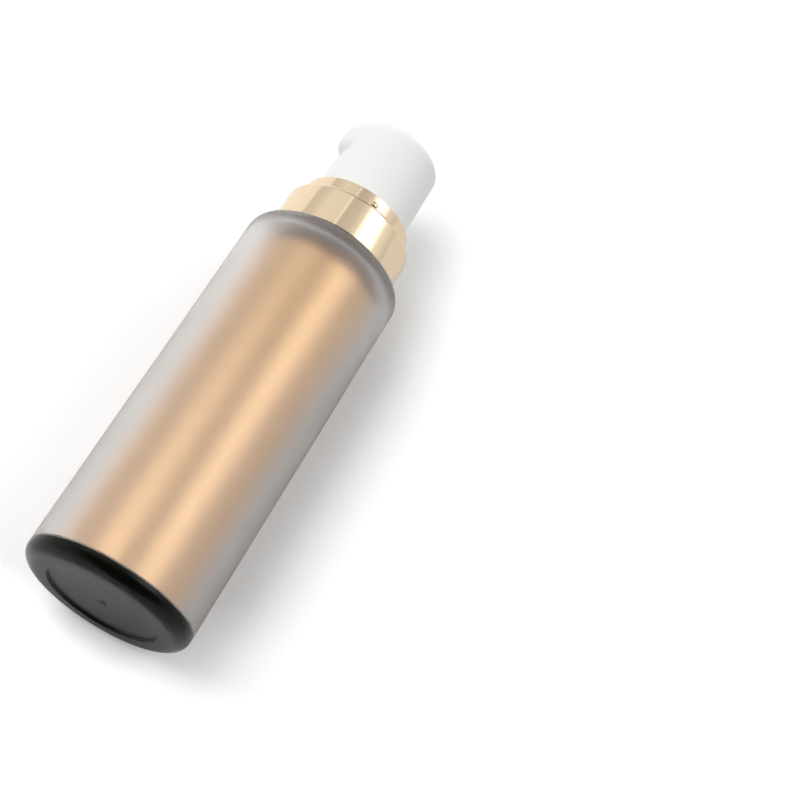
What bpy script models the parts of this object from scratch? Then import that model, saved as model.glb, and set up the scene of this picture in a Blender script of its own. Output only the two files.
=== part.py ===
"""Double-walled airless lotion bottle with a two-tier collar and a press-down pump head.

The bottle stands on its base plug, its axis is +Z, and the nozzle points along -Y.
Lengths are in metres and are written as a number of millimetres times MM.
"""

import math

import bmesh
import bpy
from mathutils import Matrix, Vector

MM = 0.001

# Fits and facets
SEAT_GAP = 0.3 * MM
RUNNING_GAP = 0.15 * MM
CUT_OVERRUN = 2.0 * MM
MERGE_DISTANCE = 0.01 * MM
OUTER_STEPS = 48
INNER_STEPS = 36
PUMP_STEPS = 24
BORE_STEPS = 20
PORT_STEPS = 12
WIRE_RESOLUTION = 1

# Outer shell
BOTTLE_RADIUS = 19.0 * MM
SHELL_WALL = 2.0 * MM
SHELL_TOP = 93.5 * MM
SHOULDER_RADIUS = 2.66 * MM
SHELL_INNER_FILLET = 1.2 * MM

# Base plug
PLUG_RIM_BAND = 0.55 * MM
PLUG_EDGE_WIDTH = 3.8 * MM
PLUG_EDGE_RISE = 2.9 * MM
PLUG_FLOOR = 2.4 * MM
RECESS_RADIUS = 12.84 * MM
RECESS_DEPTH = 0.65 * MM
RECESS_SLOPE = 0.35 * MM
DIMPLE_RADIUS = 0.9 * MM
DIMPLE_DEPTH = 0.35 * MM
VENT_RADIUS = 0.4 * MM
SPIGOT_HEIGHT = 3.85 * MM
SPIGOT_WALL = 1.2 * MM
SPIGOT_CHAMFER = 0.5 * MM
SHELL_RING_HEIGHT = 0.8 * MM
SHELL_RING_CHAMFER = 0.3 * MM

# Inner bottle
AIR_GAP = 1.7 * MM
CUP_WALL = 1.0 * MM
CUP_SHOULDER_RADIUS = 1.8 * MM
NECK_WALL = 1.5 * MM
NECK_RISE = 2.8 * MM
NECK_CLEARANCE = 0.4 * MM
BEAD_DEPTH = 0.8 * MM
BEAD_HEIGHT = 0.6 * MM
BEAD_LEAD = 0.6 * MM

# Follower piston
FOLLOWER_HEIGHT = 11.0 * MM
FOLLOWER_WALL = 1.2 * MM
FOLLOWER_LIP_HEIGHT = 1.0 * MM
FOLLOWER_LIP_SLOPE = 0.8 * MM
FOLLOWER_RELIEF = 0.6 * MM
FOLLOWER_CROWN_DROP = 0.8 * MM
FOLLOWER_WELL_TOP = 8.3 * MM
FOLLOWER_WELL_RADIUS = 7.4 * MM
FOLLOWER_WELL_FLOOR = 0.6 * MM

# Collar
HEAD_GUIDE_GAP = 0.4 * MM
COLLAR_LIP_WIDTH = 0.4 * MM
COLLAR_LIP_HEIGHT = 1.0 * MM
COLLAR_UPPER_WALL = 1.6 * MM
COLLAR_STEP = 2.1 * MM
COLLAR_LOWER_WALL = 1.2 * MM
COLLAR_LOWER_HEIGHT = 10.5 * MM
COLLAR_UPPER_HEIGHT = 3.8 * MM
COLLAR_RIM_RADIUS = 1.15 * MM
COLLAR_EDGE = 0.2 * MM
CLIP_HEIGHT = 0.6 * MM
CLIP_DEPTH = 0.4 * MM
CLIP_RISE = 2.3 * MM
BUMP_RADIUS = 0.9 * MM
BUMP_RISE = 0.4 * MM
BUMP_DROP = 2.3 * MM
BUMP_COUNT = 4
BUMP_FIRST_DEG = 13.5

# Snap closure and gasket
CLOSURE_WALL = 1.45 * MM
CLOSURE_PLATE = 1.0 * MM
CLOSURE_CHAMFER = 0.5 * MM
HOOK_DEPTH = 0.85 * MM
HOOK_HEIGHT = 0.4 * MM
HOOK_LEAD = 0.3 * MM
SLOT_COUNT = 6
SLOT_WIDTH = 1.2 * MM
SLOT_END = 2.2 * MM
GASKET_THICKNESS = 0.6 * MM
GASKET_WIDTH = 1.8 * MM

# Pump housing
CHAMBER_RADIUS = 5.0 * MM
CHAMBER_WALL = 1.2 * MM
FLANGE_THICKNESS = 0.9 * MM
TURRET_WALL = 1.0 * MM
TURRET_RISE = 2.8 * MM
TURRET_COUNTERBORE = 1.6 * MM
COUNTERBORE_DEPTH = 1.3 * MM
CAGE_SEAT_DEPTH = 1.0 * MM
CHAMBER_CONE = 1.6 * MM
FOOT_CLEARANCE = 0.4 * MM

# Inlet valve
BALL_RADIUS = 1.9 * MM
BALL_LIFT = 0.9 * MM
BALL_SIDE_GAP = 0.7 * MM
BALL_SEAT_GAP = 0.1 * MM
INLET_RADIUS = 1.3 * MM
INLET_LENGTH = 1.0 * MM
INLET_WALL = 1.2 * MM
CAGE_LEDGE = 0.6 * MM
CAGE_THICKNESS = 0.5 * MM
CAGE_HOLE_RADIUS = 1.0 * MM

# Stem, rod and pump piston
STROKE = 6.0 * MM
LOST_MOTION = 1.0 * MM
ROD_RADIUS = 1.7 * MM
ROD_BORE = 0.9 * MM
ROD_SOCKET_LENGTH = 6.0 * MM
FOOT_RADIUS = 3.2 * MM
FOOT_HEIGHT = 0.7 * MM
FOOT_CONE = 0.5 * MM
PORT_RADIUS = 0.4 * MM
PORT_RISE = 0.8 * MM
PISTON_HEIGHT = 3.2 * MM
PISTON_LIP_HEIGHT = 0.7 * MM
PISTON_RELIEF = 0.55 * MM
STEM_RADIUS = 2.9 * MM
STEM_BORE = 1.3 * MM
STEM_TIP_CHAMFER = 0.3 * MM
STOP_RADIUS = 4.2 * MM
STOP_HEIGHT = 0.9 * MM

# Stem guide and spring
GUIDE_FLOOR = 1.5 * MM
GUIDE_LIP_WIDTH = 1.0 * MM
GUIDE_LIP_HEIGHT = 0.9 * MM
SPRING_WIRE = 0.7 * MM
SPRING_SIDE_GAP = 1.2 * MM
SPRING_LENGTH = 14.0 * MM
SPRING_TURNS = 7
SPRING_END_TURNS = 0.75
SPRING_END_GAP = 0.6 * MM
SPRING_POINTS_PER_TURN = 10

# Pump head
HEAD_RADIUS = 11.5 * MM
HEAD_DRAFT = 0.1 * MM
HEAD_TOP_ABOVE_NOZZLE = 6.1 * MM
HEAD_TOP_DROP = 4.5 * MM
HEAD_TOP_INSET = 7.0 * MM
HEAD_TOP_RISE = 0.9 * MM
HEAD_TOP_LEAN_SHARE = 0.19
TOP_RINGS = 7
SKIRT_OVERLAP = 2.1 * MM
SKIRT_WALL = 1.3 * MM
SKIRT_DEEP = 6.6 * MM
CAVITY_TAPER = 2.4 * MM
CROWN_CHAMFER_SHARE = 0.43
SOCKET_DEPTH = 6.0 * MM
SOCKET_WALL = 2.0 * MM
RIB_COUNT = 4
RIB_THICKNESS = 1.0 * MM
RIB_CLEARANCE = 3.0 * MM
RISER_RADIUS = 1.2 * MM
RISER_LENGTH = 5.7 * MM
CHANNEL_RADIUS = 1.0 * MM
CHANNEL_WALL = 2.1 * MM

# Nozzle beak and the throat below it
BEAK_LENGTH = 1.4 * MM
BEAK_TIP_RADIUS = 5.0 * MM
BEAK_TIP_DROP = 5.8 * MM
BEAK_TOP_RADIUS = 0.6 * MM
BEAK_FACE_BELOW_NOZZLE = 1.1 * MM
BEAK_RING_SHARES = (0.02, 0.1, 0.22, 0.4, 0.65)
THROAT_BELOW_NOZZLE = 5.0 * MM
THROAT_LENGTH = 7.2 * MM
THROAT_DEPTH = 2.3 * MM
THROAT_WALL = 1.2 * MM
THROAT_BLEND = 0.5 * MM
THROAT_CURVE_SHARE = 0.7
THROAT_RING_SHARES = (0.4, 0.65, 0.8, 0.92)
INSERT_RADIUS = 1.2 * MM
INSERT_BORE = 0.7 * MM
INSERT_LENGTH = 4.8 * MM
INSERT_INSET = 0.25 * MM

# Radii that follow from the sizes above, from the head outwards and back in to the neck
beak_reach = HEAD_RADIUS + BEAK_LENGTH
throat_reach = HEAD_RADIUS - THROAT_DEPTH
upper_cavity_radius = throat_reach - THROAT_WALL
head_bore_radius = HEAD_RADIUS + HEAD_GUIDE_GAP
collar_well_radius = head_bore_radius + COLLAR_LIP_WIDTH
collar_upper_radius = head_bore_radius + COLLAR_UPPER_WALL
collar_lower_radius = collar_upper_radius + COLLAR_STEP
collar_inner_radius = collar_lower_radius - COLLAR_LOWER_WALL
closure_radius = collar_inner_radius - SEAT_GAP
closure_inner_radius = closure_radius - CLOSURE_WALL
bead_radius = closure_inner_radius - SEAT_GAP
neck_radius = bead_radius - BEAD_DEPTH
neck_bore_radius = neck_radius - NECK_WALL
shell_inner_radius = BOTTLE_RADIUS - SHELL_WALL
shell_hole_radius = neck_radius + NECK_CLEARANCE
cup_radius = shell_inner_radius - AIR_GAP
cup_inner_radius = cup_radius - CUP_WALL
rod_hole_radius = ROD_RADIUS + SEAT_GAP
stem_hole_radius = STEM_RADIUS + SEAT_GAP
guide_radius = CHAMBER_RADIUS + TURRET_COUNTERBORE - SEAT_GAP
spring_radius = STEM_RADIUS + SPRING_SIDE_GAP + SPRING_WIRE / 2

# Heights that follow from the sizes above, from the floor upwards
plug_rim_top = PLUG_EDGE_RISE + PLUG_RIM_BAND
shell_bottom = plug_rim_top + SEAT_GAP
shell_ceiling = SHELL_TOP - SHELL_WALL
cup_bottom = plug_rim_top + SEAT_GAP
shell_ring_top = plug_rim_top + SHELL_RING_HEIGHT
spigot_top = plug_rim_top + SPIGOT_HEIGHT
cup_top = shell_ceiling - SEAT_GAP
follower_bottom = spigot_top + SEAT_GAP
closure_bottom = SHELL_TOP + SEAT_GAP
collar_lower_top = closure_bottom + COLLAR_LOWER_HEIGHT
collar_top = collar_lower_top + COLLAR_UPPER_HEIGHT
hook_top = closure_bottom + HOOK_LEAD + HOOK_HEIGHT
bead_bottom = hook_top + SEAT_GAP
neck_top = SHELL_TOP + NECK_RISE
gasket_bottom = neck_top + SEAT_GAP
gasket_top = gasket_bottom + GASKET_THICKNESS
flange_bottom = gasket_top + SEAT_GAP
flange_top = flange_bottom + FLANGE_THICKNESS
closure_ceiling = flange_top + SEAT_GAP
closure_top = closure_ceiling + CLOSURE_PLATE
turret_top = flange_top + TURRET_RISE
guide_seat = flange_top - COUNTERBORE_DEPTH
guide_bottom = guide_seat + SEAT_GAP
spring_seat = guide_bottom + GUIDE_FLOOR
stop_top = guide_bottom - SEAT_GAP
stem_bottom = stop_top - STOP_HEIGHT
piston_top = stem_bottom - LOST_MOTION
piston_bottom = piston_top - PISTON_HEIGHT
foot_top = piston_bottom - SEAT_GAP
foot_bottom = foot_top - FOOT_HEIGHT
chamber_floor = foot_bottom - STROKE - FOOT_CLEARANCE
rod_top = stem_bottom + ROD_SOCKET_LENGTH
guide_lip_bottom = turret_top + SEAT_GAP
spring_bottom = spring_seat + SEAT_GAP
socket_bottom = spring_bottom + SPRING_LENGTH + SEAT_GAP
stem_top = socket_bottom + SOCKET_DEPTH - SEAT_GAP
skirt_bottom = collar_top - SKIRT_OVERLAP
nozzle_height = socket_bottom + SOCKET_DEPTH + RISER_LENGTH
head_ceiling = nozzle_height + CHANNEL_RADIUS + CHANNEL_WALL - SEAT_GAP
head_top = nozzle_height + HEAD_TOP_ABOVE_NOZZLE
head_top_start = head_top - HEAD_TOP_DROP
beak_face_start = nozzle_height - BEAK_FACE_BELOW_NOZZLE
throat_height = nozzle_height - THROAT_BELOW_NOZZLE
throat_start = throat_height - THROAT_LENGTH


def clear_scene():
    for thing in list(bpy.data.objects):
        bpy.data.objects.remove(thing, do_unlink=True)


def plastic(name, color, roughness, metallic=0.0, transmission=0.0):
    material = bpy.data.materials.new(name)
    material.use_nodes = True
    shader = material.node_tree.nodes["Principled BSDF"]
    shader.inputs["Base Color"].default_value = (*color, 1.0)
    shader.inputs["Roughness"].default_value = roughness
    shader.inputs["Metallic"].default_value = metallic
    shader.inputs["Transmission Weight"].default_value = transmission
    return material


def arc(center, size, start_deg, end_deg, steps):
    """Points of an elliptical arc in the (radius, height) plane, ends included."""
    points = []
    for step in range(steps + 1):
        angle = math.radians(start_deg + (end_deg - start_deg) * step / steps)
        radius = center[0] + size[0] * math.cos(angle)
        points.append((radius, center[1] + size[1] * math.sin(angle)))
    return points


def add_object(name, bm, material):
    bmesh.ops.recalc_face_normals(bm, faces=bm.faces)
    mesh = bpy.data.meshes.new(name)
    bm.to_mesh(mesh)
    bm.free()
    mesh.shade_smooth()
    mesh.set_sharp_from_angle(angle=math.radians(32))
    piece = bpy.data.objects.new(name, mesh)
    bpy.context.collection.objects.link(piece)
    if material:
        mesh.materials.append(material)
    return piece


def turned(name, outline, steps, material=None):
    """Spins a closed outline of (radius, height) points round the Z axis."""
    bm = bmesh.new()
    points = [bm.verts.new((radius, 0, height)) for radius, height in outline]
    edges = [bm.edges.new(pair) for pair in zip(points, points[1:])]
    if outline[0][0] > 0:
        edges.append(bm.edges.new((points[-1], points[0])))
    bmesh.ops.spin(
        bm,
        geom=points + edges,
        cent=(0, 0, 0),
        axis=(0, 0, 1),
        angle=math.tau,
        steps=steps,
        use_merge=True,
    )
    on_axis = [point for point in bm.verts if point.co.xy.length < MERGE_DISTANCE]
    bmesh.ops.remove_doubles(bm, verts=on_axis, dist=MERGE_DISTANCE)
    return add_object(name, bm, material)


def rod_along(name, start, end, radius, steps):
    """A plain round bar between two points, used as a cutter."""
    start = Vector(start)
    end = Vector(end)
    bm = bmesh.new()
    bmesh.ops.create_cone(
        bm,
        cap_ends=True,
        segments=steps,
        radius1=radius,
        radius2=radius,
        depth=(end - start).length,
    )
    turn = (end - start).to_track_quat("Z", "Y").to_matrix().to_4x4()
    bm.transform(Matrix.Translation((start + end) / 2) @ turn)
    return add_object(name, bm, None)


def hide_cutter(cutter):
    cutter.hide_render = True
    cutter.display_type = "WIRE"


def cut(piece, cutter, operation="DIFFERENCE"):
    hide_cutter(cutter)
    modifier = piece.modifiers.new(cutter.name, "BOOLEAN")
    modifier.operation = operation
    modifier.solver = "EXACT"
    modifier.object = cutter


def base_plug():
    land_radius = BOTTLE_RADIUS - PLUG_EDGE_WIDTH
    ring_radius = shell_inner_radius - SEAT_GAP
    ring_inner = cup_radius + SEAT_GAP
    spigot_radius = cup_inner_radius - SEAT_GAP
    spigot_inner = spigot_radius - SPIGOT_WALL
    outline = [
        (VENT_RADIUS, RECESS_DEPTH + DIMPLE_DEPTH),
        (DIMPLE_RADIUS, RECESS_DEPTH),
        (RECESS_RADIUS - RECESS_SLOPE, RECESS_DEPTH),
        (RECESS_RADIUS, 0),
    ]
    outline += arc((land_radius, PLUG_EDGE_RISE), (PLUG_EDGE_WIDTH, PLUG_EDGE_RISE), -90, 0, 6)
    outline += [
        (BOTTLE_RADIUS, plug_rim_top),
        (ring_radius, plug_rim_top),
        (ring_radius, shell_ring_top - SHELL_RING_CHAMFER),
        (ring_radius - SHELL_RING_CHAMFER, shell_ring_top),
        (ring_inner, shell_ring_top),
        (ring_inner, plug_rim_top),
        (spigot_radius, plug_rim_top),
        (spigot_radius, spigot_top - SPIGOT_CHAMFER),
        (spigot_radius - SPIGOT_CHAMFER, spigot_top),
        (spigot_inner, spigot_top),
        (spigot_inner, PLUG_FLOOR),
        (VENT_RADIUS, PLUG_FLOOR),
    ]
    black = plastic("black_gloss", (0.012, 0.012, 0.010), 0.22)
    return turned("base_plug", outline, OUTER_STEPS, black)


def outer_shell():
    shoulder_start = BOTTLE_RADIUS - SHOULDER_RADIUS
    inner_start = shell_inner_radius - SHELL_INNER_FILLET
    outline = [(BOTTLE_RADIUS, shell_bottom)]
    outline += arc(
        (shoulder_start, SHELL_TOP - SHOULDER_RADIUS), (SHOULDER_RADIUS, SHOULDER_RADIUS), 0, 90, 6
    )
    outline += [(shell_hole_radius, SHELL_TOP), (shell_hole_radius, shell_ceiling)]
    outline += arc(
        (inner_start, shell_ceiling - SHELL_INNER_FILLET),
        (SHELL_INNER_FILLET, SHELL_INNER_FILLET),
        90,
        0,
        3,
    )
    outline.append((shell_inner_radius, shell_bottom))
    frosted = plastic("frosted_acrylic", (0.86, 0.86, 0.86), 0.45, transmission=0.9)
    return turned("outer_shell", outline, OUTER_STEPS, frosted)


def inner_bottle():
    corner = CUP_SHOULDER_RADIUS
    inner_corner = corner - CUP_WALL
    under_top = cup_top - CUP_WALL
    outline = [(cup_radius, cup_bottom)]
    outline += arc((cup_radius - corner, cup_top - corner), (corner, corner), 0, 90, 5)
    outline += [
        (neck_radius, cup_top),
        (neck_radius, bead_bottom),
        (bead_radius, bead_bottom),
        (bead_radius, bead_bottom + BEAD_HEIGHT),
        (neck_radius, bead_bottom + BEAD_HEIGHT + BEAD_LEAD),
        (neck_radius, neck_top),
        (neck_bore_radius, neck_top),
        (neck_bore_radius, under_top),
    ]
    outline += arc(
        (cup_inner_radius - inner_corner, under_top - inner_corner), (inner_corner, inner_corner), 90, 0, 4
    )
    outline.append((cup_inner_radius, cup_bottom))
    gold = plastic("satin_gold", (0.86, 0.60, 0.36), 0.32, metallic=1.0)
    return turned("inner_bottle", outline, INNER_STEPS, gold)


def follower_piston():
    lip = cup_inner_radius - RUNNING_GAP
    waist = lip - FOLLOWER_RELIEF
    inner = waist - FOLLOWER_WALL
    top = follower_bottom + FOLLOWER_HEIGHT
    crown = top - FOLLOWER_CROWN_DROP
    floor = follower_bottom + FOLLOWER_WELL_FLOOR
    under_crown = crown - FOLLOWER_WALL
    outline = [
        (0, floor - FOLLOWER_WALL),
        (FOLLOWER_WELL_RADIUS + FOLLOWER_WALL, floor - FOLLOWER_WALL),
        (FOLLOWER_WELL_TOP + FOLLOWER_WALL, under_crown),
        (inner, under_crown),
        (inner, follower_bottom),
        (lip, follower_bottom),
        (lip, follower_bottom + FOLLOWER_LIP_HEIGHT),
        (waist, follower_bottom + FOLLOWER_LIP_HEIGHT + FOLLOWER_LIP_SLOPE),
        (waist, top - FOLLOWER_LIP_HEIGHT - FOLLOWER_LIP_SLOPE),
        (lip, top - FOLLOWER_LIP_HEIGHT),
        (lip, top),
        (inner, crown),
        (FOLLOWER_WELL_TOP, crown),
        (FOLLOWER_WELL_RADIUS, floor),
        (0, floor),
    ]
    white = plastic("follower_white", (0.82, 0.82, 0.80), 0.45)
    return turned("follower_piston", outline, INNER_STEPS, white)


def collar_bumps(radius, height):
    """Small round bumps that hold the overcap on the collar's upper tier."""
    bm = bmesh.new()
    for index in range(BUMP_COUNT):
        angle = math.radians(BUMP_FIRST_DEG + 360 * index / BUMP_COUNT)
        center = radius + BUMP_RISE - BUMP_RADIUS
        place = Matrix.Translation((center * math.cos(angle), center * math.sin(angle), height))
        bmesh.ops.create_uvsphere(bm, u_segments=12, v_segments=8, radius=BUMP_RADIUS, matrix=place)
    return add_object("collar_bump_shapes", bm, None)


def collar():
    ledge = collar_lower_top - COLLAR_LOWER_WALL
    clip_low = closure_bottom + CLIP_RISE
    clip_radius = collar_inner_radius - CLIP_DEPTH
    lip_bottom = collar_top - COLLAR_LIP_HEIGHT
    outline = [(collar_lower_radius, closure_bottom)]
    outline += arc(
        (collar_lower_radius - COLLAR_RIM_RADIUS, collar_lower_top - COLLAR_RIM_RADIUS),
        (COLLAR_RIM_RADIUS, COLLAR_RIM_RADIUS),
        0,
        90,
        4,
    )
    outline += [
        (collar_upper_radius, collar_lower_top),
        (collar_upper_radius, collar_top - COLLAR_EDGE),
        (collar_upper_radius - COLLAR_EDGE, collar_top),
        (head_bore_radius, collar_top),
        (head_bore_radius, lip_bottom),
        (collar_well_radius, lip_bottom - COLLAR_LIP_WIDTH),
        (collar_well_radius, ledge),
        (collar_inner_radius, ledge),
        (collar_inner_radius, clip_low + CLIP_HEIGHT + CLIP_DEPTH),
        (clip_radius, clip_low + CLIP_HEIGHT),
        (clip_radius, clip_low),
        (collar_inner_radius, clip_low - CLIP_DEPTH),
        (collar_inner_radius, closure_bottom),
    ]
    gold = plastic("bright_gold", (0.90, 0.74, 0.50), 0.10, metallic=1.0)
    ring = turned("collar", outline, OUTER_STEPS, gold)
    cut(ring, collar_bumps(collar_upper_radius, collar_top - BUMP_DROP), "UNION")
    return ring


def radial_slabs(name, count, start, end, thickness, low, high):
    """Upright slabs set out like spokes, each from one radius to another."""
    bm = bmesh.new()
    for index in range(count):
        turn = Matrix.Rotation(math.tau * (index + 0.5) / count, 4, "Z")
        size = Matrix.Diagonal((end - start, thickness, high - low, 1))
        place = Matrix.Translation(((start + end) / 2, 0, (low + high) / 2))
        bmesh.ops.create_cube(bm, size=1, matrix=turn @ place @ size)
    return add_object(name, bm, None)


def skirt_slots():
    """Slots that let the snap hooks spread over the neck's bead."""
    inside = closure_inner_radius - HOOK_DEPTH - CUT_OVERRUN
    outside = closure_radius + CUT_OVERRUN
    low = closure_bottom - CUT_OVERRUN
    high = closure_bottom + SLOT_END
    return radial_slabs("skirt_slot_cutter", SLOT_COUNT, inside, outside, SLOT_WIDTH, low, high)


def snap_closure():
    hook_radius = closure_inner_radius - HOOK_DEPTH
    clip_low = closure_bottom + CLIP_RISE
    groove_radius = closure_radius - CLIP_DEPTH
    groove_low = clip_low - SEAT_GAP
    groove_high = clip_low + CLIP_HEIGHT + SEAT_GAP
    turret_hole = CHAMBER_RADIUS + TURRET_COUNTERBORE + TURRET_WALL + SEAT_GAP
    outline = [
        (hook_radius + HOOK_LEAD, closure_bottom),
        (closure_radius, closure_bottom),
        (closure_radius, groove_low - CLIP_DEPTH),
        (groove_radius, groove_low),
        (groove_radius, groove_high),
        (closure_radius, groove_high + CLIP_DEPTH),
        (closure_radius, closure_top - CLOSURE_CHAMFER),
        (closure_radius - CLOSURE_CHAMFER, closure_top),
        (turret_hole, closure_top),
        (turret_hole, closure_ceiling),
        (closure_inner_radius, closure_ceiling),
        (closure_inner_radius, hook_top),
        (hook_radius, hook_top),
        (hook_radius, closure_bottom + HOOK_LEAD),
    ]
    white = plastic("closure_white", (0.80, 0.80, 0.79), 0.4)
    closure = turned("snap_closure", outline, INNER_STEPS, white)
    cut(closure, skirt_slots())
    return closure


def neck_gasket():
    outline = [
        (neck_radius - GASKET_WIDTH, gasket_bottom),
        (neck_radius, gasket_bottom),
        (neck_radius, gasket_top),
        (neck_radius - GASKET_WIDTH, gasket_top),
    ]
    soft = plastic("gasket_grey", (0.55, 0.56, 0.58), 0.6)
    return turned("neck_gasket", outline, PUMP_STEPS, soft)


def ball_geometry():
    """The ball's chamber radius, its cone's two heights, and the height of its centre."""
    well_radius = BALL_RADIUS + BALL_SIDE_GAP
    cage_seat = chamber_floor - CAGE_SEAT_DEPTH
    cage_bottom = cage_seat + SEAT_GAP
    center = cage_bottom - SEAT_GAP / 2 - BALL_LIFT - BALL_RADIUS
    apex = center - (BALL_RADIUS + BALL_SEAT_GAP) * math.sqrt(2)
    return well_radius, apex, center, cage_seat, cage_bottom


def pump_housing():
    well_radius, apex, _, cage_seat, _ = ball_geometry()
    cage_radius = well_radius + CAGE_LEDGE
    inlet_bottom = apex + INLET_RADIUS - INLET_LENGTH
    inlet_outer = well_radius + INLET_WALL
    tube_radius = CHAMBER_RADIUS + CHAMBER_WALL
    guide_bore = CHAMBER_RADIUS + TURRET_COUNTERBORE
    turret_radius = guide_bore + TURRET_WALL
    outline = [
        (INLET_RADIUS, inlet_bottom),
        (inlet_outer, inlet_bottom),
        (inlet_outer, cage_seat - CHAMBER_CONE / 2),
        (tube_radius, cage_seat + CHAMBER_CONE / 2),
        (tube_radius, flange_bottom),
        (bead_radius, flange_bottom),
        (bead_radius, flange_top),
        (turret_radius, flange_top),
        (turret_radius, turret_top),
        (guide_bore, turret_top),
        (guide_bore, guide_seat),
        (CHAMBER_RADIUS, guide_seat),
        (CHAMBER_RADIUS, chamber_floor),
        (cage_radius, chamber_floor),
        (cage_radius, cage_seat),
        (well_radius, cage_seat),
        (well_radius, apex + well_radius),
        (INLET_RADIUS, apex + INLET_RADIUS),
    ]
    clear = plastic("housing_natural", (0.78, 0.79, 0.80), 0.35)
    return turned("pump_housing", outline, PUMP_STEPS, clear)


def inlet_ball():
    _, _, center, _, _ = ball_geometry()
    bm = bmesh.new()
    bmesh.ops.create_uvsphere(bm, u_segments=16, v_segments=10, radius=BALL_RADIUS)
    steel = plastic("ball_steel", (0.62, 0.62, 0.64), 0.15, metallic=1.0)
    ball = add_object("inlet_ball", bm, steel)
    ball.location = (0, 0, center)
    return ball


def ball_cage():
    well_radius, _, _, _, cage_bottom = ball_geometry()
    outer = well_radius + CAGE_LEDGE - SEAT_GAP
    outline = [
        (CAGE_HOLE_RADIUS, cage_bottom),
        (outer, cage_bottom),
        (outer, cage_bottom + CAGE_THICKNESS),
        (CAGE_HOLE_RADIUS, cage_bottom + CAGE_THICKNESS),
    ]
    white = plastic("cage_white", (0.80, 0.80, 0.80), 0.4)
    return turned("ball_cage", outline, BORE_STEPS, white)


def stem_guide():
    cup_radius_inside = spring_radius + SPRING_WIRE / 2 + SEAT_GAP
    lip_radius = CHAMBER_RADIUS + TURRET_COUNTERBORE + TURRET_WALL + GUIDE_LIP_WIDTH
    lip_top = guide_lip_bottom + GUIDE_LIP_HEIGHT
    outline = [
        (stem_hole_radius, guide_bottom),
        (guide_radius, guide_bottom),
        (guide_radius, guide_lip_bottom),
        (lip_radius, guide_lip_bottom),
        (lip_radius, lip_top),
        (cup_radius_inside, lip_top),
        (cup_radius_inside, spring_seat),
        (stem_hole_radius, spring_seat),
    ]
    white = plastic("guide_white", (0.82, 0.82, 0.81), 0.38)
    return turned("stem_guide", outline, PUMP_STEPS, white)


def piston_rod():
    outline = [
        (0, foot_bottom),
        (FOOT_RADIUS, foot_bottom),
        (FOOT_RADIUS, foot_top - FOOT_CONE),
        (ROD_RADIUS + FOOT_CONE, foot_top),
        (ROD_RADIUS, foot_top),
        (ROD_RADIUS, rod_top - SEAT_GAP),
        (ROD_BORE, rod_top - SEAT_GAP),
        (ROD_BORE, foot_top),
        (0, foot_top),
    ]
    white = plastic("rod_white", (0.80, 0.81, 0.82), 0.35)
    rod = turned("piston_rod", outline, BORE_STEPS, white)
    port_height = piston_bottom + PORT_RISE
    facet = math.pi / BORE_STEPS
    reach = (ROD_RADIUS + CUT_OVERRUN) * Vector((math.cos(facet), math.sin(facet), 0))
    center = Vector((0, 0, port_height))
    cut(rod, rod_along("rod_port_cutter", center - reach, center + reach, PORT_RADIUS, PORT_STEPS))
    return rod


def pump_piston():
    lip = CHAMBER_RADIUS - RUNNING_GAP
    waist = lip - PISTON_RELIEF
    outline = [
        (rod_hole_radius, piston_bottom),
        (lip, piston_bottom),
        (lip, piston_bottom + PISTON_LIP_HEIGHT),
        (waist, piston_bottom + PISTON_LIP_HEIGHT + PISTON_RELIEF),
        (waist, piston_top - PISTON_LIP_HEIGHT - PISTON_RELIEF),
        (lip, piston_top - PISTON_LIP_HEIGHT),
        (lip, piston_top),
        (rod_hole_radius, piston_top),
    ]
    soft = plastic("piston_soft_white", (0.84, 0.84, 0.82), 0.5)
    return turned("pump_piston", outline, PUMP_STEPS, soft)


def stem():
    outline = [
        (rod_hole_radius, stem_bottom),
        (STOP_RADIUS, stem_bottom),
        (STOP_RADIUS, stop_top),
        (STEM_RADIUS, stop_top),
        (STEM_RADIUS, stem_top - STEM_TIP_CHAMFER),
        (STEM_RADIUS - STEM_TIP_CHAMFER, stem_top),
        (STEM_BORE, stem_top),
        (STEM_BORE, rod_top),
        (rod_hole_radius, rod_top),
    ]
    white = plastic("stem_white", (0.82, 0.83, 0.84), 0.32)
    return turned("stem", outline, BORE_STEPS, white)


def spring_points():
    """Centre line of the spring: close-wound ends and an even pitch between them."""
    turns = SPRING_TURNS + 2 * SPRING_END_TURNS
    steps = round(turns * SPRING_POINTS_PER_TURN)
    low = spring_bottom + SPRING_WIRE / 2
    end_rise = (SPRING_WIRE + SPRING_END_GAP) * SPRING_END_TURNS
    middle_rise = SPRING_LENGTH - SPRING_WIRE - 2 * end_rise
    points = []
    for step in range(steps + 1):
        turn = turns * step / steps
        first = min(turn, SPRING_END_TURNS) / SPRING_END_TURNS
        middle = min(max(turn - SPRING_END_TURNS, 0), SPRING_TURNS) / SPRING_TURNS
        last = max(turn - SPRING_END_TURNS - SPRING_TURNS, 0) / SPRING_END_TURNS
        height = low + end_rise * (first + last) + middle_rise * middle
        angle = math.tau * turn
        points.append(Vector((spring_radius * math.cos(angle), spring_radius * math.sin(angle), height)))
    return points


def least_wire_gap(points):
    apart = SPRING_POINTS_PER_TURN // 2
    gaps = [
        (points[i] - points[j]).length - SPRING_WIRE
        for i in range(len(points))
        for j in range(i + apart, len(points))
    ]
    return min(gaps)


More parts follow.
